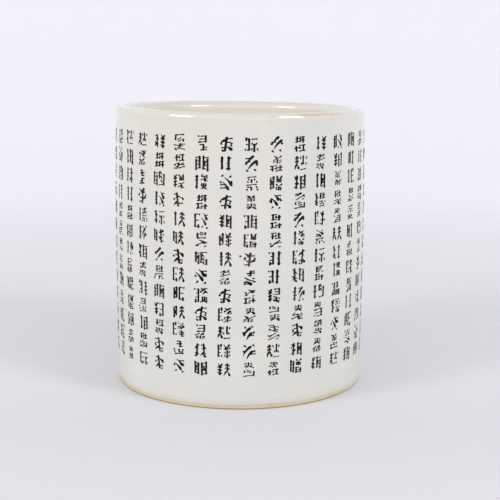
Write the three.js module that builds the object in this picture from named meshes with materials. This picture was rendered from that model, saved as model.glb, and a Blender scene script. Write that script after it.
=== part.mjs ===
// A cylindrical porcelain brush pot: a thrown clay wall and a floor slab, both standing on a turned foot
// ring, under three coats of glaze. The foot ring's own surface is left bare.
// Millimetres, +Z up. The origin is on the resting plane, on the pot's axis.
import * as THREE from "three";

// Driving dimensions. Radii and heights are those of the glazed surface unless they say clay.
const HEIGHT = 138;
const FOOT_RADIUS = 62.25;
const BARREL = 0.75; // how far the wall swells at half its height
const WALL = 6.6; // both glaze coats included
const GLAZE = 0.4;
const LIP_OUTSIDE = 2.4; // width of the lip's outer quarter ellipse
const LIP_OUTSIDE_DEPTH = 3; // height of the lip's outer quarter ellipse
const LIP_INSIDE_DEPTH = 3.5; // height of the lip's inner quarter ellipse
const FLOOR_TOP = 10;
const FLOOR_CORNER = 3; // radius of the glaze pooled where the wall meets the floor

// The foot.
const RING_HEIGHT = 3.6;
const RING_WIDTH = 8.8;
const RING_SLOPE = 0.9; // how much wider the ring's hole is at the resting plane than at its top
const BARE_BAND = 2.0; // height of the unglazed edge above the resting plane
const TURNED_EDGE = 0.6; // chamfer on the ring's two lower edges
const SLAB_CLEARANCE = 0.1; // slip joint between the slab's edge and the wall

// How finely the curves are divided.
const SEGMENTS = 72;
const WALL_STEPS = 5;
const LIP_STEPS = 5;
const CORNER_STEPS = 3;

// Sizes that follow from those.
const LIP_INSIDE = WALL - LIP_OUTSIDE; // width of the inner quarter ellipse
const CLAY_FLOOR_TOP = FLOOR_TOP - GLAZE;
const QUARTER = Math.PI / 2;
const LIP_START = HEIGHT - LIP_OUTSIDE_DEPTH; // where the outer quarter ellipse begins
const MOUTH_START = HEIGHT - LIP_INSIDE_DEPTH; // where the inner quarter ellipse ends
const CROWN_RADIUS = outsideRadius(LIP_START) - LIP_OUTSIDE;
const MOUTH_RADIUS = CROWN_RADIUS - LIP_INSIDE;
const RING_INNER_RADIUS = FOOT_RADIUS - GLAZE - RING_WIDTH;
const SLAB_RADIUS = MOUTH_RADIUS + GLAZE - SLAB_CLEARANCE;

const PORCELAIN = new THREE.MeshStandardMaterial({ color: 0xece6da, roughness: 0.8, metalness: 0 });
const BISCUIT = new THREE.MeshStandardMaterial({ color: 0xdcc9a4, roughness: 0.75, metalness: 0 });
const GLOSS = new THREE.MeshStandardMaterial({ color: 0xe4e2d9, roughness: 0.12, metalness: 0 });

// The barrel curve: 0 at both ends of the stretch and 1 halfway along it.
function swell(share) {
  return 4 * share * (1 - share);
}

function outsideRadius(z) {
  return FOOT_RADIUS + BARREL * swell(z / HEIGHT);
}

function insideRadius(z) {
  return MOUTH_RADIUS + BARREL * swell((z - FLOOR_TOP) / (MOUTH_START - FLOOR_TOP));
}

// Profile points are [radius, height]. A profile runs anticlockwise round the clay or glaze that it bounds.
// under is the depth below the glazed surface: 0 for the surface itself, GLAZE for the clay beneath.
function outsideWall(from, under) {
  return steps(WALL_STEPS).map((share) => {
    const z = THREE.MathUtils.lerp(from, LIP_START, share);
    return [outsideRadius(z) - under, z];
  });
}

function insideWall(to, under) {
  return steps(WALL_STEPS).map((share) => {
    const z = THREE.MathUtils.lerp(MOUTH_START, to, share);
    return [insideRadius(z) + under, z];
  });
}

function outerLip(under) {
  const reach = [LIP_OUTSIDE - under, LIP_OUTSIDE_DEPTH - under];
  return arc([CROWN_RADIUS, LIP_START], reach, 0, QUARTER, LIP_STEPS);
}

function innerLip(under) {
  const reach = [LIP_INSIDE - under, LIP_INSIDE_DEPTH - under];
  return arc([CROWN_RADIUS, MOUTH_START], reach, QUARTER, 2 * QUARTER, LIP_STEPS);
}

function steps(count) {
  return Array.from({ length: count + 1 }, (_, i) => i / count);
}

// A stretch of an ellipse with its axes level and upright. reach is its half width and half height.
function arc(centre, reach, from, to, count) {
  return steps(count).map((share) => {
    const angle = THREE.MathUtils.lerp(from, to, share);
    return [centre[0] + reach[0] * Math.cos(angle), centre[1] + reach[1] * Math.sin(angle)];
  });
}

// Revolves a profile about +Z. A profile with no point on the axis is closed into a ring.
function turned(name, profile, material) {
  const distinct = profile.filter(
    ([r, z], i) => i === 0 || Math.hypot(r - profile[i - 1][0], z - profile[i - 1][1]) > 1e-6,
  );
  if (distinct[0][0] > 0) distinct.push(distinct[0]);
  const points = distinct.map(([r, z]) => new THREE.Vector2(r, z));
  const geometry = new THREE.LatheGeometry(points, SEGMENTS);
  geometry.rotateX(QUARTER);
  const mesh = new THREE.Mesh(geometry, material);
  mesh.name = name;
  return mesh;
}

// The turned ring that the pot stands on, bare clay below the glaze line.
function footRing() {
  const outer = FOOT_RADIUS - GLAZE;
  const holeAtTop = RING_INNER_RADIUS;
  const holeAtFoot = RING_INNER_RADIUS + RING_SLOPE;
  return turned(
    "foot_ring",
    [
      [holeAtFoot + TURNED_EDGE, 0],
      [outer - TURNED_EDGE, 0],
      [outer, TURNED_EDGE],
      [outsideRadius(BARE_BAND) - GLAZE, BARE_BAND],
      [outsideRadius(RING_HEIGHT) - GLAZE, RING_HEIGHT],
      [holeAtTop, RING_HEIGHT],
      [holeAtFoot, TURNED_EDGE],
    ],
    BISCUIT,
  );
}

// The thrown clay cylinder with its rolled lip, luted onto the outer part of the foot ring.
function wall() {
  return turned(
    "wall",
    [
      ...outsideWall(RING_HEIGHT, GLAZE),
      ...outerLip(GLAZE),
      ...innerLip(GLAZE),
      ...insideWall(CLAY_FLOOR_TOP, GLAZE),
      [MOUTH_RADIUS + GLAZE, RING_HEIGHT],
    ],
    PORCELAIN,
  );
}

// The flat slab that closes the pot. It bridges the foot ring's hole and its edge is luted to the wall.
function floorSlab() {
  return turned(
    "floor_slab",
    [
      [0, RING_HEIGHT],
      [SLAB_RADIUS, RING_HEIGHT],
      [SLAB_RADIUS, CLAY_FLOOR_TOP],
      [0, CLAY_FLOOR_TOP],
    ],
    PORCELAIN,
  );
}

// The dipped coat outside, from the rounded glaze line just above the foot up to the lip's crown.
function outerGlaze() {
  const line = BARE_BAND;
  return turned(
    "outer_glaze",
    [
      [outsideRadius(line) - GLAZE, line],
      [outsideRadius(line) - GLAZE / 4, line + GLAZE / 4],
      ...outsideWall(line + GLAZE, 0),
      ...outerLip(0),
      ...outerLip(GLAZE).reverse(),
      ...outsideWall(RING_HEIGHT, GLAZE).reverse(),
    ],
    GLOSS,
  );
}

// The poured coat inside, from the crown down the wall, round the pooled corner and over the floor.
function innerGlaze() {
  const cornerZ = FLOOR_TOP + FLOOR_CORNER;
  const cornerRadius = insideRadius(cornerZ) - FLOOR_CORNER;
  return turned(
    "inner_glaze",
    [
      [0, CLAY_FLOOR_TOP],
      ...insideWall(CLAY_FLOOR_TOP, GLAZE).reverse(),
      ...innerLip(GLAZE).reverse(),
      ...innerLip(0),
      ...insideWall(cornerZ, 0),
      ...arc([cornerRadius, cornerZ], [FLOOR_CORNER, FLOOR_CORNER], 0, -QUARTER, CORNER_STEPS),
      [0, FLOOR_TOP],
    ],
    GLOSS,
  );
}

// The brushed coat under the floor, inside the foot ring, with a small fillet against the ring.
function recessGlaze() {
  const lower = RING_HEIGHT - GLAZE;
  const edge = RING_INNER_RADIUS;
  return turned(
    "recess_glaze",
    [
      [0, lower],
      [edge - GLAZE, lower],
      [edge, lower - GLAZE],
      [edge, RING_HEIGHT],
      [0, RING_HEIGHT],
    ],
    GLOSS,
  );
}

const pot = new THREE.Group();
pot.name = "brush_pot";
pot.add(footRing(), wall(), floorSlab(), outerGlaze(), innerGlaze(), recessGlaze());

export default pot;
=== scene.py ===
"""Looks of the porcelain brush pot: its glaze, its bare foot and its columns of brush-written marks.

Lengths are in metres and angles in radians. Azimuth 0 faces the camera, along -Y, and grows towards +X.
"""

import math
import random

import bpy
import numpy as np
from mathutils import Matrix, Vector


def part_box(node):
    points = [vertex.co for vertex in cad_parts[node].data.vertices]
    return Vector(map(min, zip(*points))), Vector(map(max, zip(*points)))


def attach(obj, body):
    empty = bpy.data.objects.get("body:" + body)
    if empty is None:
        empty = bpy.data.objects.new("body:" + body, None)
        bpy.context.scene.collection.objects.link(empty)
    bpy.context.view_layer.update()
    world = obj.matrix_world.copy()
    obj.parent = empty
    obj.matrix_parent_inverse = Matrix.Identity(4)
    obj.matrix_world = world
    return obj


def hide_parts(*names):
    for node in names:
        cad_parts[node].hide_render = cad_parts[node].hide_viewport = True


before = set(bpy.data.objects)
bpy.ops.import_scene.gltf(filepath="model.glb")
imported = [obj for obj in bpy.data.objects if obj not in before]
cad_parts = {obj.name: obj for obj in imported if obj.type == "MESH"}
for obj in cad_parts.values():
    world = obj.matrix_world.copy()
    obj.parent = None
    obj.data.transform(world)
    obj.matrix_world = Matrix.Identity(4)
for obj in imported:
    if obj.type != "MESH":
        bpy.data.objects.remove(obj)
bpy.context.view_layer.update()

MM = 0.001
TURN = 2 * math.pi

# Sizes of the glazed surface, from the frame.
GLAZE = 0.4 * MM
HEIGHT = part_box("outer_glaze")[1].z
BELLY_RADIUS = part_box("outer_glaze")[1].x
CROWN_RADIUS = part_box("inner_glaze")[1].x
CLAY_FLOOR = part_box("inner_glaze")[0].z
GLAZE_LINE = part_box("outer_glaze")[0].z
RING_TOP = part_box("foot_ring")[1].z
RECESS_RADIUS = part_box("recess_glaze")[1].x

# The shape that the frame's boxes don't give. The lip is two quarter ellipses, each a width and a height.
BARREL = 0.75 * MM
LIP_OUTSIDE = (2.4 * MM, 3.0 * MM)
LIP_INSIDE = (4.2 * MM, 3.5 * MM)
FLOOR_CORNER = 3.0 * MM
RING_SLOPE = 0.9 * MM
RING_EDGE = 0.7 * MM
RECESS_FILLET = 0.4 * MM
LIP_START = HEIGHT - LIP_OUTSIDE[1]
MOUTH_START = HEIGHT - LIP_INSIDE[1]
MOUTH_RADIUS = CROWN_RADIUS - LIP_INSIDE[0]
FOOT_RADIUS = BELLY_RADIUS - BARREL
FLOOR_TOP = CLAY_FLOOR + GLAZE

# What the potter's hand did to the wall and the floor.
OVAL = 0.12 * MM
DENT_DEPTH = 0.06 * MM
RING_DEPTH, RING_WAVE = 0.05 * MM, 3.0 * MM
SPIRAL_DEPTH, SPIRAL_WAVE = 0.06 * MM, 1.9 * MM
FLOOR_SPIRAL_DEPTH, FLOOR_SPIRAL_WAVE = 0.05 * MM, 1.6 * MM

# The rim is out of level. Places and half widths round it are azimuths.
RIM_LIFT = 0.38 * MM
RIM_TILT = 0.55 * MM
RIM_WAVER = 0.04 * MM
RIM_SAG = 0.6 * MM
SAG_PLACE, SAG_HALF_WIDTH = np.radians((0, 28))
RIM_RISE = 0.45 * MM
RISE_PLACE, RISE_HALF_WIDTH = np.radians((78, 24))
NICK_DEPTH = 0.3 * MM
NICKS = [tuple(np.radians(nick)) for nick in ((-28.3, 0.35), (2.9, 0.35), (7.5, 0.75))]

# The glaze line wavers, and on the right it dips nearly to the foot.
LINE_LIFT = 0.1 * MM
LINE_DIP = 1.6 * MM
DIP_START, DIP_END = np.radians((48, 72)), np.radians((105, 135))
LINE_REACH = 8 * MM  # how high the wall follows the glaze line
THIN_EDGE = 0.12 * MM  # thickness of the glaze at its lower edge


# ---------------------------------------------------------------- the pot's surface


def smooth(low, high, value):
    share = np.clip((value - low) / (high - low), 0, 1)
    return share * share * (3 - 2 * share)


def bump(value, middle, half_width):
    return np.exp(-(((value - middle) / half_width) ** 2))


def outside_radius(height):
    share = height / HEIGHT
    return FOOT_RADIUS + BARREL * 4 * share * (1 - share)


def inside_radius(height):
    share = (height - FLOOR_TOP) / (MOUTH_START - FLOOR_TOP)
    return MOUTH_RADIUS + BARREL * 4 * share * (1 - share)


def wall_growth(azimuth, radius, height):
    """How far the wall is out from the true shape: rings and dents outside, a spiral inside, and an oval."""
    outside = smooth(MOUTH_RADIUS, MOUTH_RADIUS + 0.8 * (LIP_OUTSIDE[0] + LIP_INSIDE[0]), radius)
    inside = (1 - outside) * smooth(MOUTH_RADIUS - 4 * MM, MOUTH_RADIUS - 1 * MM, radius)
    rings = RING_DEPTH * np.sin(height / RING_WAVE + 0.6 * np.sin(azimuth))
    dents = DENT_DEPTH * np.sin(3 * azimuth + height / (30 * MM)) * np.sin(height / (13 * MM) + azimuth)
    oval = OVAL * np.cos(2 * azimuth + 0.7)
    spiral = SPIRAL_DEPTH * np.sin(height / SPIRAL_WAVE + azimuth)
    return outside * (rings + dents + oval) + inside * (spiral + oval)


def rim_lift(azimuth, radius, height):
    """How far the rim is above its true height, which the upper wall follows, with its nicks."""
    sag = RIM_SAG * bump(azimuth, SAG_PLACE, SAG_HALF_WIDTH)
    rise = RIM_RISE * bump(azimuth, RISE_PLACE, RISE_HALF_WIDTH)
    waver = RIM_WAVER * np.sin(5 * azimuth + 1)
    level = RIM_LIFT - RIM_TILT * np.sin(azimuth) - sag + rise + waver
    lift = smooth(0.6 * HEIGHT, HEIGHT, height) * level
    for place, half_width in NICKS:
        nick = bump(azimuth, place, half_width) * bump(radius, CROWN_RADIUS + 0.4 * MM, 0.9 * MM)
        lift = lift - NICK_DEPTH * nick * smooth(HEIGHT - 1.5 * MM, HEIGHT, height)
    return lift


def line_lift(azimuth, radius, height):
    """How far the glaze line is above its true height, which the foot of the wall follows."""
    wave = 0.16 * np.sin(4 * azimuth + 1) + 0.10 * np.sin(9 * azimuth) + 0.06 * np.sin(23 * azimuth + 2)
    dip = smooth(*DIP_START, azimuth) * (1 - smooth(*DIP_END, azimuth))
    line = LINE_LIFT + MM * wave * (1 - dip) - LINE_DIP * dip
    near_line = smooth(0, GLAZE_LINE, height) * (1 - smooth(GLAZE_LINE, LINE_REACH, height))
    return line * near_line * smooth(MOUTH_RADIUS, FOOT_RADIUS - GLAZE, radius)


def floor_lift(azimuth, radius):
    """The throwing spiral on the floor, which fades out towards its middle and its corner."""
    floor = 1 - smooth(MOUTH_RADIUS - 8 * MM, MOUTH_RADIUS - 4 * MM, radius)
    spiral = np.sin(radius / FLOOR_SPIRAL_WAVE - azimuth)
    return FLOOR_SPIRAL_DEPTH * floor * spiral * smooth(0, 10 * MM, radius)


def by_hand(azimuth, radius, height):
    """Moves points of the true turned shape to where they are on the real pot, as x, y and z."""
    moved = radius + wall_growth(azimuth, radius, height)
    lift = rim_lift(azimuth, radius, height) + line_lift(azimuth, radius, height)
    lift = lift + floor_lift(azimuth, radius)
    return moved * np.sin(azimuth), -moved * np.cos(azimuth), height + lift


def azimuths(steps):
    """Azimuths all round, in even steps, with finer ones where the rim is nicked."""
    even = -math.pi + TURN * np.arange(steps) / steps
    close = [place + 3 * half_width * np.linspace(-1, 1, 13) for place, half_width in NICKS]
    return np.unique(np.round(np.concatenate([even, *close]), 6))


def arc(centre, reach, start, end, steps):
    """Points [radius, height] on a curved stretch of a profile. reach is its half width and half height.

    Angles are in degrees, 0 outwards and 90 up.
    """
    return [
        (centre[0] + reach[0] * math.cos(angle), centre[1] + reach[1] * math.sin(angle))
        for angle in np.radians(np.linspace(start, end, steps + 1))
    ]


def run(radius_at, start, end, steps, under=0.0):
    """Points of a profile that follows radius_at from one height to another, under the glazed surface."""
    return [(radius_at(height) + under, height) for height in np.linspace(start, end, steps + 1)]


def across(start, end, height, steps):
    """Points of a level stretch of a profile, from one radius to another."""
    return [(radius, height) for radius in np.linspace(start, end, steps + 1)]


def revolved(name, profile, turns, material):
    """A closed mesh from a profile that runs anticlockwise round its solid, carried round the axis by hand.

    A point on the axis becomes one vertex, and a profile that isn't on the axis at its ends is closed.
    """
    points = [p for i, p in enumerate(profile) if i == 0 or math.dist(p, profile[i - 1]) > 1e-7]
    if points[0][0] > 0:
        points.append(points[0])
    columns = len(turns)
    vertices, rows = [], []
    for i, (radius, height) in enumerate(points):
        closes = i == len(points) - 1 and points[0][0] > 0
        if closes:
            rows.append(rows[0])
            continue
        around = turns if radius > 0 else turns[:1]
        x, y, z = by_hand(around, np.full(len(around), radius), np.full(len(around), height))
        rows.append(len(vertices) + np.arange(columns) * (radius > 0))
        vertices.extend(zip(x, y, z))
    faces = []
    for low, high in zip(rows, rows[1:]):
        for j in range(columns):
            k = (j + 1) % columns
            corners = [low[j], low[k], high[k], high[j]]
            faces.append([c for n, c in enumerate(corners) if c != corners[n - 1]])
    return piece(name, vertices, faces, material)


def piece(name, vertices, faces, material):
    """A smooth mesh with its corners kept sharp, riding on the pot's one body."""
    mesh = bpy.data.meshes.new(name)
    mesh.from_pydata([tuple(map(float, v)) for v in vertices], [], [list(map(int, f)) for f in faces])
    mesh.polygons.foreach_set("use_smooth", [True] * len(mesh.polygons))
    mesh.set_sharp_from_angle(angle=math.radians(50))
    mesh.materials.append(material)
    made = bpy.data.objects.new(name, mesh)
    bpy.context.scene.collection.objects.link(made)
    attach(made, "root")
    return made


# ---------------------------------------------------------------- materials


def linear(red, green, blue):
    """A shader colour from the 0 to 255 numbers of a colour picker."""
    def one(value):
        share = value / 255
        return share / 12.92 if share <= 0.04045 else ((share + 0.055) / 1.055) ** 2.4
    return (one(red), one(green), one(blue), 1.0)


class Shader:
    """A material under construction, with a short call for each kind of node that the materials use."""

    def __init__(self, name):
        self.material = bpy.data.materials.new(name)
        self.material.use_nodes = True
        self.tree = self.material.node_tree
        self.surface = self.tree.nodes["Principled BSDF"]
        self.place = self.add("ShaderNodeTexCoord").outputs["Object"]

    def add(self, kind, settings=None, **inputs):
        """Adds a node. Its inputs go by name, or by order as i0, i1 and so on."""
        made = self.tree.nodes.new(kind)
        for key, value in (settings or {}).items():
            setattr(made, key, value)
        for key, value in inputs.items():
            by_order = key[1:].isdigit()
            self.feed(made.inputs[int(key[1:]) if by_order else key.replace("_", " ")], value)
        return made

    def feed(self, socket, value):
        """Gives a socket a number or a colour of its own, or links another node's output to it."""
        if isinstance(value, bpy.types.NodeSocket):
            self.tree.links.new(value, socket)
        else:
            socket.default_value = value

    def math(self, operation, first, second=0.0):
        return self.add("ShaderNodeMath", {"operation": operation}, i0=first, i1=second).outputs[0]

    def noise(self, size, detail, stretch=None):
        """Noise from 0 to 1 whose blotches are about size across. stretch scales the coordinates first."""
        where = self.place
        if stretch:
            where = self.add("ShaderNodeMapping", Vector=where, Scale=stretch).outputs[0]
        return self.add("ShaderNodeTexNoise", Vector=where, Scale=1 / size, Detail=detail).outputs[0]

    def ramp(self, value, low, high, to_low=0.0, to_high=1.0):
        """Carries value from low..high to to_low..to_high, easing at both ends."""
        settings = {"interpolation_type": "SMOOTHSTEP"}
        made = self.add("ShaderNodeMapRange", settings, i0=value, i1=low, i2=high, i3=to_low, i4=to_high)
        return made.outputs[0]

    def mix(self, share, first, second):
        return self.add("ShaderNodeMix", {"data_type": "RGBA"}, i0=share, i6=first, i7=second).outputs[2]

    def window(self, value, low, high, ease):
        """1 between low and high, fading to 0 over ease outside them."""
        rise = self.ramp(value, low - ease, low)
        return self.math("MULTIPLY", rise, self.ramp(value, high, high + ease, 1.0, 0.0))

    def axes(self):
        return self.add("ShaderNodeSeparateXYZ", i0=self.place).outputs

    def radius(self):
        x, y, _ = self.axes()
        return self.math("SQRT", self.math("ADD", self.math("MULTIPLY", x, x), self.math("MULTIPLY", y, y)))

    def azimuth(self):
        x, y, _ = self.axes()
        return self.math("ARCTAN2", x, self.math("MULTIPLY", y, -1.0))

    def spot(self, azimuth, height, radius, reach, ease):
        """1 within reach of one place on the pot, fading to 0 over ease."""
        where = (radius * math.sin(azimuth), -radius * math.cos(azimuth), height)
        away = self.add("ShaderNodeVectorMath", {"operation": "DISTANCE"}, i0=self.place, i1=where)
        return self.ramp(away.outputs["Value"], reach, reach + ease, 1.0, 0.0)

    def specks(self, spacing, size, share):
        """Round specks of one size, one in a share of the cells of a grid with that spacing."""
        cells = self.add("ShaderNodeTexVoronoi", Vector=self.place, Scale=1 / spacing)
        near = self.ramp(cells.outputs["Distance"], 0.4 * size / spacing, size / spacing, 1.0, 0.0)
        pick = self.add("ShaderNodeSeparateColor", i0=cells.outputs["Color"]).outputs[0]
        return self.math("MULTIPLY", near, self.math("LESS_THAN", pick, share))

    def dent(self, height, depth):
        """Bumps the surface by height, which runs from 0 to 1, by up to depth."""
        made = self.add("ShaderNodeBump", Height=height, Distance=depth, Strength=1.0)
        self.feed(self.surface.inputs["Normal"], made.outputs[0])

    def finish(self, **settings):
        """Sets the surface's own sockets and hands over the material."""
        for key, value in settings.items():
            self.feed(self.surface.inputs[key.replace("_", " ")], value)
        return self.material


def glaze_spots():
    """Single marks in the glaze: azimuth in degrees, height, radius, reach, ease, strength and colour."""
    lip = outside_radius(LIP_START)
    return {
        "rust fleck": (0.3, 73.2 * MM, BELLY_RADIUS, 0.35 * MM, 0.45 * MM, 1.0, (96, 48, 32)),
        "pinhole": (-49.4, 134.9 * MM, lip, 0.1 * MM, 0.4 * MM, 0.6, (120, 116, 108)),
        # The grey spot darkens the crown at the far right.
        "grey spot on the rim": (100, HEIGHT, CROWN_RADIUS, 0.6 * MM, 1.6 * MM, 0.6, (168, 164, 150)),
        "end of the stain": (13.5, HEIGHT - 1.7 * MM, lip, 0.5 * MM, 1.3 * MM, 0.35, (212, 194, 156)),
        "yellow patch": (10, 131 * MM, BELLY_RADIUS, 1 * MM, 4 * MM, 0.6, (222, 218, 198)),
    }


def glaze_ground(s):
    """The glaze's colour: mottled ivory, warmer at the upper left and paler low down as painted light,
    streaked on top.
    """
    ivory, cool, warm = linear(217, 215, 205), linear(211, 213, 204), linear(219, 215, 198)
    height = s.axes()[2]
    colour = s.mix(s.ramp(s.noise(34 * MM, 3), 0.35, 0.65), ivory, cool)
    colour = s.mix(s.ramp(s.noise(21 * MM, 2, (1, 1, 0.6)), 0.52, 0.75, 0.0, 0.55), colour, warm)
    # Painted light: the upper left is warmed as if the left lamp lit it more.
    left = s.ramp(s.axes()[0], -FOOT_RADIUS, 0.5 * FOOT_RADIUS, 0.5, 0.0)
    colour = s.mix(s.math("MULTIPLY", left, s.ramp(height, 0.3 * HEIGHT, HEIGHT)), colour, warm)
    # Painted light: the glaze turns paler low down, standing in for light that falls short there.
    low = s.ramp(height, 0.0, 0.75 * HEIGHT, 0.65, 0.0)
    colour = s.mix(low, colour, linear(229, 228, 218))
    streaks = s.ramp(s.noise(2.2 * MM, 2, (1, 1, 0.12)), 0.35, 0.75)
    near_rim = s.math("MULTIPLY", s.ramp(height, HEIGHT - 22 * MM, HEIGHT - 6 * MM), 0.25)
    return s.mix(s.math("MULTIPLY", streaks, near_rim), colour, linear(208, 208, 200))


def rim_stain(s):
    """How brown the outside of the lip is: a blotchy stain on the right, just under the crown."""
    side = s.window(s.azimuth(), math.radians(27), math.radians(46), math.radians(6))
    level = s.window(s.axes()[2], HEIGHT - 1.4 * MM, HEIGHT - 0.9 * MM, 0.5 * MM)
    blotches = s.ramp(s.noise(3 * MM, 3), 0.30, 0.55, 0.45, 1.0)
    return s.math("MULTIPLY", s.math("MULTIPLY", side, level), blotches)


def glaze_material():
    """Glossy glaze, paler inside the mouth as painted light, with pits, a stained lip, single marks and a
    thin lower edge.
    """
    s = Shader("glaze")
    height = s.axes()[2]
    colour = glaze_ground(s)

    # Painted light: the inside of the mouth and the floor are made paler, standing in for light reaching into
    # the pot.
    within = s.ramp(s.radius(), CROWN_RADIUS - 3.5 * MM, CROWN_RADIUS, 1.0, 0.0)
    below = s.ramp(height, HEIGHT - 3.5 * MM, HEIGHT - 0.2 * MM, 1.0, 0.0)
    colour = s.mix(s.math("MULTIPLY", within, below), colour, linear(240, 237, 223))

    pits = s.math("MULTIPLY", s.specks(6.5 * MM, 0.22 * MM, 0.10), 0.45)
    colour = s.mix(pits, colour, linear(150, 146, 136))
    colour = s.mix(rim_stain(s), colour, linear(208, 188, 148))
    for azimuth, at_height, radius, reach, ease, strength, tone in glaze_spots().values():
        spot = s.spot(math.radians(azimuth), at_height, radius, reach, ease)
        colour = s.mix(s.math("MULTIPLY", spot, strength), colour, linear(*tone))
    thin = s.ramp(height, GLAZE_LINE, GLAZE_LINE + 1.8 * MM, 0.4, 0.0)
    colour = s.mix(thin, colour, linear(222, 208, 172))

    s.dent(s.noise(1.6 * MM, 2), 0.006 * MM)
    return s.finish(Base_Color=colour, Roughness=0.09, IOR=1.5, Coat_Weight=1.0, Coat_Roughness=0.03)


def biscuit_material():
    """Bare fired clay: matt beige, toasted towards the glaze line and on the left, with fine grit and a
    painted contact shadow at its lowest edge.
    """
    s = Shader("biscuit")
    height = s.axes()[2]
    base = s.mix(s.noise(4 * MM, 4), linear(222, 212, 184), linear(214, 202, 168))
    toasted = s.mix(s.ramp(s.noise(12 * MM, 2), 0.45, 0.75, 0.0, 0.7), base, linear(216, 190, 152))
    edge = s.math("MULTIPLY", s.ramp(height, 0.9 * MM, 2.1 * MM), 0.35)
    colour = s.mix(edge, toasted, linear(205, 178, 136))
    grit = s.specks(0.9 * MM, 0.10 * MM, 0.16)
    colour = s.mix(s.math("MULTIPLY", grit, 0.55), colour, linear(120, 92, 66))
    # Painted shadow: the lowest millimetre of the foot darkens to grey-brown, a contact shadow where it meets
    # the floor.
    colour = s.mix(s.ramp(height, 0.3 * MM, 0.9 * MM, 0.75, 0.0), colour, linear(150, 138, 116))
    s.dent(s.noise(0.25 * MM, 3), 0.03 * MM)
    return s.finish(Base_Color=colour, Roughness=0.85)


def clay_material():
    """The white clay under the glaze, with fine grain. It only shows in section."""
    s = Shader("porcelain_clay")
    colour = s.mix(s.noise(1.5 * MM, 4), linear(236, 231, 220), linear(228, 221, 207))
    s.dent(s.noise(0.3 * MM, 3), 0.02 * MM)
    return s.finish(Base_Color=colour, Roughness=0.8)


def ink_material():
    """Black enamel, thin and grey where the brush was dry, as the ink_load attribute says."""
    s = Shader("ink")
    load = s.add("ShaderNodeAttribute", {"attribute_name": "ink_load"}).outputs["Fac"]
    grain = s.ramp(s.noise(0.35 * MM, 3), 0.3, 0.7, -0.16, 0.16)
    full = s.math("ADD", load, grain)
    colour = s.mix(s.ramp(full, 0.15, 0.75), linear(104, 102, 98), linear(12, 12, 11))
    return s.finish(Base_Color=colour, Roughness=0.55, Specular_IOR_Level=0.12)


# ---------------------------------------------------------------- glaze, foot and clay

TURNS = 300  # steps round the pot


def under_glaze(reach):
    """The reach of the clay's own curve beneath a curve of the glazed surface."""
    return tuple(length - GLAZE for length in reach)


def coat_radius(height):
    """The outside of the coat, which thins towards the glaze line."""
    thin = 1 - smooth(GLAZE_LINE, GLAZE_LINE + 3 * MM, height)
    return outside_radius(height) - (GLAZE - THIN_EDGE) * thin


def glaze_coat_profile():
    """One coat over the wall, lip, inside and floor: first its side on the clay, then its glossy side."""
    corner_height = FLOOR_TOP + FLOOR_CORNER
    corner_radius = inside_radius(corner_height) - FLOOR_CORNER
    crown_out, crown_in = (CROWN_RADIUS, LIP_START), (CROWN_RADIUS, MOUTH_START)
    edge = (outside_radius(GLAZE_LINE) - GLAZE, GLAZE_LINE + THIN_EDGE)
    return [
        *across(0, inside_radius(CLAY_FLOOR) + GLAZE, CLAY_FLOOR, 6),
        *run(inside_radius, CLAY_FLOOR, MOUTH_START, 12, GLAZE),
        *arc(crown_in, under_glaze(LIP_INSIDE), 180, 90, 8),
        *arc(crown_out, under_glaze(LIP_OUTSIDE), 90, 0, 8),
        *run(outside_radius, LIP_START, GLAZE_LINE, 12, -GLAZE),
        *arc(edge, (THIN_EDGE, THIN_EDGE), -90, 0, 4),
        *run(coat_radius, GLAZE_LINE + THIN_EDGE, LINE_REACH, 14),
        *run(outside_radius, LINE_REACH, LIP_START, 64),
        *arc(crown_out, LIP_OUTSIDE, 0, 90, 14),
        *arc(crown_in, LIP_INSIDE, 90, 180, 18),
        *run(inside_radius, MOUTH_START, corner_height, 44),
        *arc((corner_radius, corner_height), (FLOOR_CORNER, FLOOR_CORNER), 0, -90, 8),
        *across(corner_radius, 0, FLOOR_TOP, 24),
    ]


def foot_ring_profile():
    """The turned ring: a flat foot between two rounded edges, a bare outer edge and a sloped inner one."""
    outer = FOOT_RADIUS - GLAZE
    inner = RECESS_RADIUS + RING_SLOPE
    rounding = (RING_EDGE, RING_EDGE)
    return [
        *arc((inner + RING_EDGE, RING_EDGE), rounding, 180, 270, 5),
        *across(inner + RING_EDGE, outer - RING_EDGE, 0, 8),
        *arc((outer - RING_EDGE, RING_EDGE), rounding, -90, 0, 5),
        *run(outside_radius, RING_EDGE, RING_TOP, 8, -GLAZE),
        *across(outside_radius(RING_TOP) - GLAZE, RECESS_RADIUS, RING_TOP, 4),
    ]


def recess_profile():
    """The coat under the floor, with a fillet where it meets the ring."""
    under = RING_TOP - GLAZE
    corner = (RECESS_RADIUS - RECESS_FILLET, under - RECESS_FILLET)
    return [
        *across(0, RECESS_RADIUS - RECESS_FILLET, under, 24),
        *arc(corner, (RECESS_FILLET, RECESS_FILLET), 90, 0, 4),
        *across(RECESS_RADIUS, 0, RING_TOP, 4),
    ]


def make_body():
    glaze, biscuit, clay = glaze_material(), biscuit_material(), clay_material()
    turns = azimuths(TURNS)
    coat = revolved("glaze_coat", glaze_coat_profile(), turns, glaze)
    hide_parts("outer_glaze", "inner_glaze")
    recess = revolved("glaze_recess", recess_profile(), turns[::2], glaze)
    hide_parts("recess_glaze")
    foot = revolved("foot_biscuit_ring", foot_ring_profile(), turns, biscuit)
    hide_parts("foot_ring")
    for name in ("wall", "floor_slab"):
        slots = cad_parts[name].data.materials
        slots.clear()
        slots.append(clay)


# ---------------------------------------------------------------- brush-written marks
# A made-up mark is a few lines in a square, 0 to 1 each way, put together from motifs turned about at random.
# No motif closes a box or is a plain cross, since real characters are built of those. Each line then becomes
# the stroke that a brush would make of it.

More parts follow.
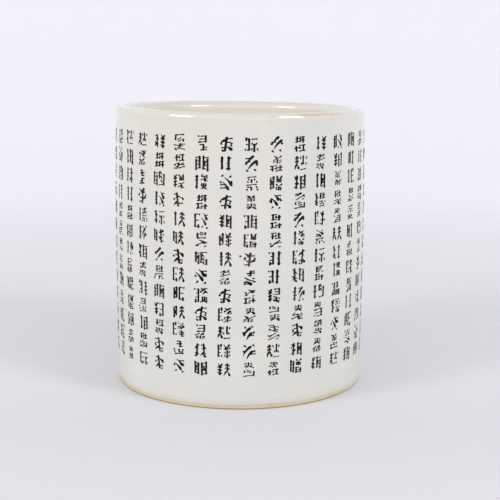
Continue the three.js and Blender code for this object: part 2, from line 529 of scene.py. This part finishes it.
# A column's place is counted in pitches from the front. The columns stop short of meeting at the back.
COLUMNS = 31
FIRST_PLACE = -15.5
MARKS_IN_COLUMN = 13
COLUMN_PITCH = math.radians(10.385)
COLUMN_WANDER = math.radians(0.6)
COLUMN_LEAN = math.radians(-1.0)
COLUMN_SHIFT = math.radians(0.15)
TOP_MARK = 124.2 * MM
LOW_MARK = 20 * MM
MARK_PITCH = 8.72 * MM
MARK_SIZE = np.array((6.3, 6.9)) * MM
INK_SEED = 41

# Shares of the layouts, added up: motifs side by side, stacked, and both. The rest are one motif alone.
LAYOUT_STEPS = (0.42, 0.74, 0.89)

# The pen's half width in millimetres, how much finer it is for each stroke of a mark, and up to how many.
PEN, PEN_FINER, PEN_COUNTS = 0.75, 0.019, 14

# How a line becomes a kind of stroke. Reaches are shares of the mark, and the rest say how far it slopes.
DAB_REACH, FLICK_REACH = 0.17, 0.34
LEVEL_SLOPE, UPRIGHT_SLOPE, FLICK_SLOPE = 2.2, 0.16, 0.3
LEVEL_RISE = 0.045

# A stroke shorter than this has fewer stations.
SHORT_STROKE = 1.6 * MM

# The ink that the brush carries, from 1 down. It is dipped again once it carries less than this.
DIP_AGAIN = 0.66

# Half widths along a stroke, as (share of the way, share of the pen).
PEN_SHAPES = {
    "level": ((0, 0.55), (0.12, 0.80), (0.45, 0.50), (0.78, 0.62), (0.93, 1.00), (1, 0.75)),
    "upright": ((0, 0.75), (0.10, 1.12), (0.35, 0.85), (0.75, 0.90), (0.93, 1.08), (1, 0.85)),
    "left_sweep": ((0, 0.70), (0.14, 1.10), (0.50, 0.85), (0.80, 0.50), (1, 0.10)),
    "right_sweep": ((0, 0.25), (0.35, 0.60), (0.78, 1.35), (0.90, 1.05), (1, 0.12)),
    "dab": ((0, 0.25), (0.35, 0.80), (0.75, 1.20), (1, 0.80)),
    "flick": ((0, 0.95), (0.30, 0.85), (1, 0.08)),
}

# How far a stroke's middle bows to its left, as a share of its length.
PEN_BOWS = {
    "level": 0.02,
    "upright": 0.0,
    "left_sweep": -0.09,
    "right_sweep": 0.07,
    "dab": 0.02,
    "flick": -0.04,
}


def comb(rng):
    """An upright crossed by levels, two of which stop at it."""
    count = rng.choice((3, 3, 4))
    x = rng.uniform(0.34, 0.66)
    stops = rng.randrange(count)
    lines = [(x, 1.02, x + rng.uniform(-0.03, 0.03), -0.02)]
    for i in range(count):
        y = 0.86 - 0.74 * i / (count - 1)
        left, right = x - rng.uniform(0.26, 0.42), x + rng.uniform(0.26, 0.42)
        if i == stops:
            left = x
        elif i == (stops + 1) % count:
            right = x
        lines.append((left, y, right, y))
    return lines


def trellis(rng):
    """Two uprights with levels through one of them or the other. No level joins the two, but a sweep may."""
    count = rng.choice((3, 4, 4))
    lines = [(0.22, 1.0, 0.20, rng.uniform(0.08, 0.20)), (0.80, rng.uniform(0.76, 0.88), 0.82, -0.02)]
    for i in range(count):
        y = 0.86 - 0.72 * i / (count - 1)
        lines.append((0.0, y, 0.60, y) if i % 2 else (0.42, y, 1.0, y))
    if rng.random() < 0.6:
        x = rng.uniform(0.42, 0.58)
        lines.append((x + 0.08, 0.66, x - 0.10, 0.30))
    return lines


def ledge(rng):
    """A shelf with one upright at its end, a shorter one off the shelf, and slanting strokes between."""
    low = rng.uniform(0.06, 0.16)
    lines = [(0.10, 0.98, 0.14, 0.52), (0.90, 0.86, 0.88, low - 0.04), (0.02, low, 0.98, low)]
    for i in range(rng.choice((2, 3))):
        y = 0.98 - 0.26 * i
        lines.append((0.28 + 0.05 * i, y, 0.66 + 0.05 * i, y - 0.24))
    if rng.random() < 0.5:
        lines.append((0.04, 0.36, 0.30, 0.22))
    return lines


def slopes(rng):
    """Two sweeps the same way, one above the other, with flicks over them and levels at one end."""
    x, y = rng.uniform(0.42, 0.58), rng.uniform(0.70, 0.82)
    lines = [
        (x + 0.24, y + 0.10, 0.02, rng.uniform(0.20, 0.34)),
        (x + 0.36, y - 0.22, 0.30, rng.uniform(-0.04, 0.06)),
        (0.08, 0.96, 0.30, 0.82),
        (0.72, 1.0, 0.94, 0.88),
    ]
    for i in range(rng.choice((1, 2, 2))):
        y = 0.36 - 0.22 * i
        lines.append((0.58 - 0.06 * i, y, 1.0, y))
    if rng.random() < 0.5:
        lines.append((0.08, 0.62, 0.08, 0.30))
    return lines


def branch(rng):
    """A leaning stem with strokes leaving it at different heights, and none that crosses it."""
    x = rng.uniform(0.40, 0.60)
    lines = [
        (x + 0.10, 1.02, x - 0.06, 0.0),
        (x + 0.02, 0.78, 0.0, 0.56),
        (x, 0.36, 0.98, 0.08),
        (x + 0.08, 0.88, 1.0, 0.88),
        (x + 0.02, 0.62, 0.84, 0.62),
        (0.06, 0.26, x - 0.02, 0.26),
    ]
    if rng.random() < 0.6:
        lines.append((0.10, 0.12, 0.34, -0.02))
    if rng.random() < 0.5:
        lines.append((0.80, 0.46, 0.98, 0.34))
    return lines


def shower(rng):
    """Dabs in two staggered rows beside a stem, with a level over them."""
    lines = [(0.04, 0.90, 0.96, 0.90), (0.50, 0.60, 0.48, 0.0)]
    count = rng.choice((2, 3))
    for row, dabs in enumerate((count, 2)):
        for i in range(dabs):
            x = 0.14 + 0.72 * i / (dabs - 1) + 0.06 * row
            y = 0.66 - 0.38 * row
            side = -1 if (i + row) % 2 else 1
            lines.append((x, y, x + 0.15 * side, y - 0.20))
    return lines


def stair(rng):
    """Levels that shorten one way, tied by an upright at the other end, with two short strokes."""
    count = rng.choice((3, 4))
    lines = [(0.16, 1.0, 0.16, 0.02), (0.74, 1.06, 0.70, 0.76), (0.80, 0.20, 0.96, 0.02)]
    for i in range(count):
        y = 0.94 - 0.86 * i / (count - 1)
        lines.append((0.04, y, 0.96 - 0.14 * i, y))
    return lines


def fan(rng):
    """A stem that parts into two sweeps, with flicks on both sides of it."""
    x = rng.uniform(0.40, 0.60)
    lines = [(x, 1.0, x, 0.40), (x, 0.42, x - 0.34, 0.0), (x + 0.04, 0.40, 0.98, 0.04)]
    for i in range(rng.choice((2, 3))):
        y = 0.92 - 0.24 * i
        lines.append((x - 0.14, y - 0.04, x - 0.40, y - 0.20))
        lines.append((x + 0.14, y, x + 0.38, y - 0.16))
    return lines


WIDE_MOTIFS = (comb, trellis, trellis, ledge, slopes, branch, shower, stair, fan, fan)
NARROW_MOTIFS = (comb, branch, stair, trellis, fan)
SPARSE_MOTIFS = (slopes, branch)


def motif_in(motifs, rng, left, low, right, high):
    """One of the motifs, turned about at random and fitted to a cell of the mark."""
    lines = rng.choice(motifs)(rng)
    over, about = rng.random() < 0.5, rng.random() < 0.5
    fitted = []
    for x0, y0, x1, y1 in lines:
        if over:
            y0, y1 = 1 - y0, 1 - y1
        if about:
            x0, x1 = 1 - x0, 1 - x1
        width, height = right - left, high - low
        fitted.append((left + width * x0, low + height * y0, left + width * x1, low + height * y1))
    return fitted


def mark_lines(rng):
    """A whole mark: motifs side by side, stacked, both, or now and then one alone with two dabs."""
    layout, split, shelf = rng.random(), rng.uniform(0.38, 0.48), rng.uniform(0.44, 0.56)
    beside, stacked, both = LAYOUT_STEPS
    if layout < beside:
        return (
            motif_in(NARROW_MOTIFS, rng, 0, 0.06, split - 0.04, 0.98)
            + motif_in(WIDE_MOTIFS, rng, split + 0.04, 0, 1, 1)
        )
    if layout < stacked:
        return (
            motif_in(WIDE_MOTIFS, rng, 0.12, shelf + 0.04, 0.90, 1)
            + motif_in(WIDE_MOTIFS, rng, 0.04, 0, 0.96, shelf - 0.05)
        )
    if layout < both:
        return (
            motif_in(NARROW_MOTIFS, rng, 0, 0.05, 0.36, 0.98)
            + motif_in(WIDE_MOTIFS, rng, 0.43, 0.54, 1, 1)
            + motif_in(WIDE_MOTIFS, rng, 0.41, 0, 1, 0.46)
        )
    side = rng.uniform(0.02, 0.12)
    dabs = [(0.80, 0.62, 0.92, 0.50), (0.14, 0.60, 0.06, 0.46)]
    return motif_in(SPARSE_MOTIFS, rng, side, 0, 1 - side, 1) + dabs


def brush_stroke(x0, y0, x1, y1):
    """The kind of stroke that a line calls for, with its ends in the order that a brush takes them."""
    if abs(x1 - x0) > LEVEL_SLOPE * abs(y1 - y0):
        if x1 < x0:
            x0, x1 = x1, x0
        rise = LEVEL_RISE * (x1 - x0)
        return "level", np.array((x0, y0 - rise)), np.array((x1, y1 + rise))
    if y1 > y0:
        x0, y0, x1, y1 = x1, y1, x0, y0
    reach = math.hypot(x1 - x0, y1 - y0)
    if reach < DAB_REACH:
        kind = "dab"
    elif reach < FLICK_REACH and abs(x1 - x0) > FLICK_SLOPE * reach:
        kind = "flick"
    elif abs(x1 - x0) < UPRIGHT_SLOPE * reach:
        kind = "upright"
    else:
        kind = "left_sweep" if x1 < x0 else "right_sweep"
    return kind, np.array((x0, y0)), np.array((x1, y1))


def stroke_shape(kind, start, end, pen, load):
    """A stroke in the plane: its line, its sideways directions, its half widths and how much ink it carries.

    The line is a shallow bow. The widths follow the kind of stroke and close to a round tip at each end.
    """
    reach = np.hypot(*(end - start))
    stations = 9 if reach < SHORT_STROKE else 13
    share = (1 - np.cos(math.pi * np.arange(stations) / (stations - 1))) / 2
    side = np.array((start[1] - end[1], end[0] - start[0]))
    middle = (start + end) / 2 + PEN_BOWS[kind] * 2 * side
    back, fore = (1 - share)[:, None], share[:, None]
    line = back**2 * start + 2 * back * fore * middle + fore**2 * end
    ahead = np.gradient(line, axis=0)
    ahead /= np.linalg.norm(ahead, axis=1)[:, None]
    sideways = np.stack((-ahead[:, 1], ahead[:, 0]), axis=1)
    keys = np.array(PEN_SHAPES[kind])
    width = pen * np.interp(share, keys[:, 0], keys[:, 1])
    steps = np.linalg.norm(np.diff(line, axis=0), axis=1)
    gone = np.concatenate(([0.0], np.cumsum(steps)))
    to_tip = np.clip(np.minimum(gone, gone[-1] - gone) / width, 0, 1)
    width = width * np.sqrt(1 - (1 - to_tip) ** 2)
    dryness = 0.22 * share * smooth(1.5 * MM, 5 * MM, reach)
    return line, sideways, width, load - dryness


# How far a stroke's edges, ridge and root stand out from the glaze.
EDGE_LIFT = 0.012 * MM
RIDGE_LIFT = 0.035 * MM
ROOT_LIFT = -0.03 * MM


def stroke_body(line, sideways, width, load, first):
    """A closed lens-shaped body along a stroke, as rows of (across, up, lift, load) and its faces.

    Each station but the tips has a left edge, a ridge, a right edge and a root in the glaze.
    """
    left, right = line + sideways * width[:, None], line - sideways * width[:, None]
    rows = [(*line[0], EDGE_LIFT, load[0])]
    for i in range(1, len(line) - 1):
        ring = ((left[i], EDGE_LIFT), (line[i], RIDGE_LIFT), (right[i], EDGE_LIFT), (line[i], ROOT_LIFT))
        rows += [(*point, lift, load[i]) for point, lift in ring]
    rows.append((*line[-1], EDGE_LIFT, load[-1]))
    last = first + len(rows) - 1
    faces = []
    for k in range(4):
        n = (k + 1) % 4
        faces.append((first, first + 1 + n, first + 1 + k))
        for i in range(len(line) - 3):
            low = first + 1 + 4 * i
            faces.append((low + k, low + n, low + 4 + n, low + 4 + k))
        faces.append((last - 4 + k, last - 4 + n, last))
    return rows, faces


def column_azimuth(column, height):
    """Where a column's middle is at a height: evenly spaced, with the hand's slow wander and lean."""
    place = FIRST_PLACE + column
    wander = COLUMN_WANDER * math.cos(TURN * place / MARKS_IN_COLUMN)
    fallen = (TOP_MARK - height) / (TOP_MARK - LOW_MARK)
    return COLUMN_SHIFT + COLUMN_PITCH * place - wander + COLUMN_LEAN * fallen * (0.8 - 0.07 * place)


def make_column(column, material):
    """One column of marks, from the top down. The brush dries over a few marks and is dipped again."""
    rng = random.Random(INK_SEED * 1000 + column)
    rows, faces = [], []
    wet = rng.uniform(0.75, 1.0)
    for mark in range(MARKS_IN_COLUMN):
        lines = mark_lines(rng)
        size = MARK_SIZE * rng.uniform(0.93, 1.05)
        middle_height = TOP_MARK - MARK_PITCH * mark + rng.uniform(-0.25, 0.25) * MM
        middle = np.array((rng.uniform(-0.2, 0.2) * MM, middle_height))
        pen = (PEN - PEN_FINER * min(len(lines), PEN_COUNTS)) * MM * rng.uniform(0.94, 1.10)
        for line in lines:
            kind, start, end = brush_stroke(*line)
            slack = rng.uniform(0.94, 1.06) * (0.80 if kind == "level" else 1.0)
            start, end = (middle + (point - 0.5) * size for point in (start, end))
            shape = stroke_shape(kind, start, end, pen * slack, wet)
            more_rows, more_faces = stroke_body(*shape, len(rows))
            rows += more_rows
            faces += more_faces
        wet = rng.uniform(0.92, 1.0) if wet < DIP_AGAIN else wet - rng.uniform(0.0, 0.07)
    sideways, up, lift, load = np.array(rows).T
    middles = np.array([column_azimuth(column, height) for height in up])
    azimuth = middles + sideways / BELLY_RADIUS
    x, y, z = by_hand(azimuth, outside_radius(up) + lift, up)
    made = piece(f"ink_column_{column + 1:02d}", zip(x, y, z), faces, material)
    made.data.attributes.new("ink_load", "FLOAT", "POINT").data.foreach_set("value", load.astype(np.float32))


def make_marks():
    material = ink_material()
    for column in range(COLUMNS):
        make_column(column, material)


# ---------------------------------------------------------------- stage, light and camera

FLOOR_REACH = 1.0
SWEEP_RADIUS = 0.6
SWEEP_HEIGHT = 1.7
STAGE_STEPS = 96
# How strongly the far backdrop glows: painted light from a surface that is no lamp.
BACKDROP_GLOW = 0.12
WORLD_STRENGTH = 0.61

# Azimuth and elevation from the pot in degrees, distance, width, height, power in watts, and colour.
SOFTBOXES = {
    "softbox_left": (-55, 26, 1.05, 0.36, 0.32, 3.2, (1.0, 0.98, 0.94)),
    "softbox_right": (51.5, 33, 1.05, 0.33, 0.30, 3.1, (0.98, 1.0, 0.98)),
}

CAMERA_PLACE = (0, -562.0 * MM, 164.6 * MM)
YAW, PITCH, ROLL = 0.0094, 0.1754, 0.0055
SENSOR_WIDTH, LENS = 36.0, 80.1


def make_stage():
    """A pale floor that turns up into a round backdrop, far outside every camera's place, with painted light:
    darker in front of the pot, paler and glowing further out.
    """
    s = Shader("stage")
    away = s.radius()
    # Painted light and shade: the floor is darker in front of the pot and paler further out.
    near = s.mix(s.ramp(s.axes()[1], -0.10, 0.02), linear(222, 223, 226), linear(231, 232, 235))
    colour = s.mix(s.ramp(away, 0.1, 0.9), near, linear(247, 246, 250))
    # Painted light: the backdrop glows more with distance, though it is no lamp.
    glow = s.ramp(away, 0.12, 0.9, 0.0, BACKDROP_GLOW)
    s.finish(
        Base_Color=colour, Roughness=0.9, Specular_IOR_Level=0.1,
        Emission_Color=linear(250, 249, 255), Emission_Strength=glow,
    )
    profile = [
        *[(FLOOR_REACH * (i / 12) ** 2, 0.0) for i in range(13)],
        *arc((FLOOR_REACH, SWEEP_RADIUS), (SWEEP_RADIUS, SWEEP_RADIUS), -90, 0, 16)[1:],
        (FLOOR_REACH + SWEEP_RADIUS, SWEEP_HEIGHT),
    ]
    vertices = [
        (radius * math.sin(TURN * j / STAGE_STEPS), radius * math.cos(TURN * j / STAGE_STEPS), height)
        for radius, height in profile[1:]
        for j in range(STAGE_STEPS)
    ]
    faces = [list(range(STAGE_STEPS))[::-1]]
    for i in range(len(profile) - 2):
        low, high = i * STAGE_STEPS, (i + 1) * STAGE_STEPS
        for j in range(STAGE_STEPS):
            k = (j + 1) % STAGE_STEPS
            faces.append((low + j, high + j, high + k, low + k))
    mesh = bpy.data.meshes.new("stage")
    mesh.from_pydata(vertices, [], faces)
    mesh.polygons.foreach_set("use_smooth", [True] * len(faces))
    mesh.materials.append(s.material)
    stage = bpy.data.objects.new("stage", mesh)
    bpy.context.scene.collection.objects.link(stage)


def softbox(name, azimuth, elevation, distance, width, height, power, colour):
    """A rectangular lamp at an azimuth and elevation from the pot, facing it."""
    lamp = bpy.data.lights.new(name, "AREA")
    lamp.shape, lamp.size, lamp.size_y = "RECTANGLE", width, height
    lamp.energy, lamp.color = power, colour
    made = bpy.data.objects.new(name, lamp)
    bpy.context.scene.collection.objects.link(made)
    a, e = math.radians(azimuth), math.radians(elevation)
    towards = Vector((math.sin(a) * math.cos(e), -math.cos(a) * math.cos(e), math.sin(e)))
    made.location = Vector((0, 0, HEIGHT)) + distance * towards
    made.rotation_euler = towards.to_track_quat("Z", "Y").to_euler()


def make_light():
    world = bpy.data.worlds.new("studio")
    world.use_nodes = True
    background = world.node_tree.nodes["Background"]
    background.inputs["Color"].default_value = (0.99, 0.99, 1.0, 1)
    background.inputs["Strength"].default_value = WORLD_STRENGTH
    bpy.context.scene.world = world
    for name, lamp in SOFTBOXES.items():
        softbox(name, *lamp)
    bpy.context.scene.view_settings.view_transform = "Standard"


def make_camera():
    """A long lens a little above the rim, looking slightly down at the pot's middle."""
    data = bpy.data.cameras.new("camera")
    data.sensor_width, data.lens = SENSOR_WIDTH, LENS
    data.clip_start, data.clip_end = 0.05, 20
    camera = bpy.data.objects.new("camera", data)
    bpy.context.scene.collection.objects.link(camera)
    bpy.context.scene.camera = camera
    ahead = Vector((math.sin(YAW) * math.cos(PITCH), math.cos(YAW) * math.cos(PITCH), -math.sin(PITCH)))
    level_right = ahead.cross(Vector((0, 0, 1))).normalized()
    level_up = level_right.cross(ahead)
    right = level_right * math.cos(ROLL) + level_up * math.sin(ROLL)
    up = level_up * math.cos(ROLL) - level_right * math.sin(ROLL)
    turned = Matrix((right, up, -ahead)).transposed().to_4x4()
    camera.matrix_world = Matrix.Translation(CAMERA_PLACE) @ turned


make_body()
make_marks()
make_stage()
make_light()
make_camera()
